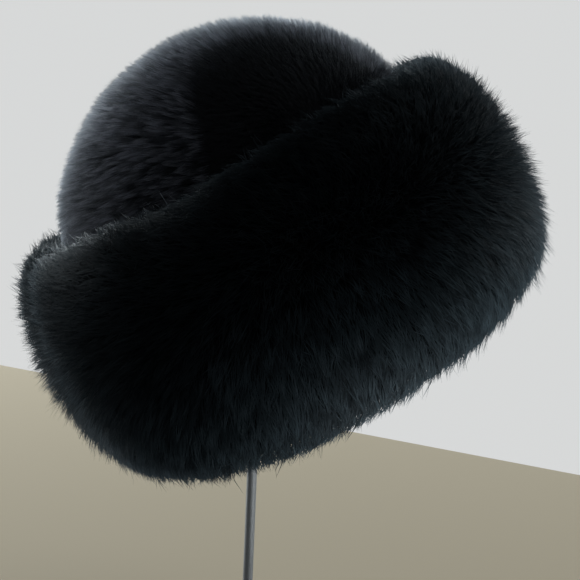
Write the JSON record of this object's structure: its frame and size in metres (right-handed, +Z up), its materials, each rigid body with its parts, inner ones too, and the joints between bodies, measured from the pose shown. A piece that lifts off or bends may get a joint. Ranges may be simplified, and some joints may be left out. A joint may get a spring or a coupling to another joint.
{
  "type": "fur hat on display stand",
  "caption": "Fur hat with a domed short-pile crown and a deep long-haired cuff all round, leaning back on a plain stand with a round foot, a thin post and a domed rest inside the crown.",
  "frame": {"origin": "centre of the stand foot's underside, below the post", "axes": "+Z up along the post, +X towards the hat's raised front, +Y to the hat's left side as it is worn"},
  "size_m": [0.3037, 0.28, 0.3928],
  "materials": {
    "crown_fur": "short plush black fur with a cool sheen",
    "cuff_fur": "long soft black fur, blue-grey where the light rims it",
    "stand_metal": "satin grey",
    "rest_plastic": "matte grey"
  },
  "bodies": {
    "root": {"crown": "crown_fur", "cuff": "cuff_fur", "stand_foot": "stand_metal", "stand_post": "stand_metal", "stand_rest": "rest_plastic"}
  },
  "joints": []
}
